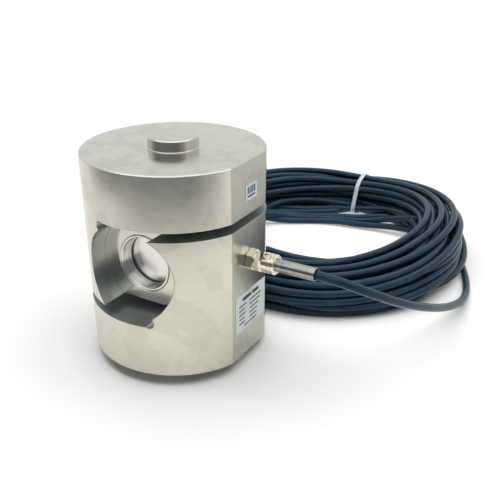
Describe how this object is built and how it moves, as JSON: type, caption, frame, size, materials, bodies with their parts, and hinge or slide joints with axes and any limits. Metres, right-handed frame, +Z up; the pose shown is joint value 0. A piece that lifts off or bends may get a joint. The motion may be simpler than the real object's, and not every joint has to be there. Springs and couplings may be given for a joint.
{
  "type": "compression load cell",
  "caption": "Round S-cut compression load cell with a load stud at each end, covered gauge bores in side counterbores, a flat with a cable gland, and a tied coil of cable.",
  "frame": {"origin": "centre of the lower load stud's face, on the surface that the load cell stands on", "axes": "+Z up along the load axis to the upper stud, +X out of the flat along the cable gland, Y along the gauge bores with the front at -Y"},
  "size_m": [0.2623, 0.3621, 0.141],
  "materials": {
    "body_nickel": "satin nickel plating over turned and ground steel",
    "stud_nickel": "satin nickel plating",
    "ring_nickel": "bright turned nickel",
    "cover_cream": "matt pale cover",
    "gauge_film": "amber film",
    "board_green": "solder mask",
    "resistor_black": "matt",
    "wire_red": "plain insulation",
    "wire_black": "plain insulation",
    "wire_green": "plain insulation",
    "wire_white": "plain insulation",
    "lead_enamel": "enamelled wire",
    "gland_plating": "nickel plating with a warm cast",
    "sleeve_steel": "drawn tube",
    "seal_rubber": "matt",
    "label_white": "printed film label",
    "badge_white": "plain film label",
    "cable_jacket": "satin extruded jacket",
    "tie_white": "natural nylon",
    "shield_braid": "twisted tinned strands"
  },
  "bodies": {
    "root": {"body": "body_nickel", "top_load_stud": "stud_nickel", "bottom_load_stud": "stud_nickel", "front_seal_ring": "ring_nickel", "rear_seal_ring": "ring_nickel", "front_cover": "cover_cream", "rear_cover": "cover_cream", "front_gauge": "gauge_film", "rear_gauge": "gauge_film", "terminal_board": "board_green", "trim_resistors": "resistor_black", "wire_red": "wire_red", "wire_black": "wire_black", "wire_green": "wire_green", "wire_white": "wire_white", "bridge_leads": "lead_enamel", "gland_body": "gland_plating", "gland_nut": "gland_plating", "gland_seal": "seal_rubber", "cable_sleeve": "sleeve_steel", "wiring_label": "label_white", "plain_label": "badge_white", "cable_in_gland": "cable_jacket", "cable_lead": "cable_jacket", "cable_coil": "cable_jacket", "cable_tail": "cable_jacket", "cable_tie": "tie_white", "core_red": "wire_red", "core_black": "wire_black", "core_green": "wire_green", "core_white": "wire_white", "core_shield": "shield_braid"}
  },
  "joints": []
}
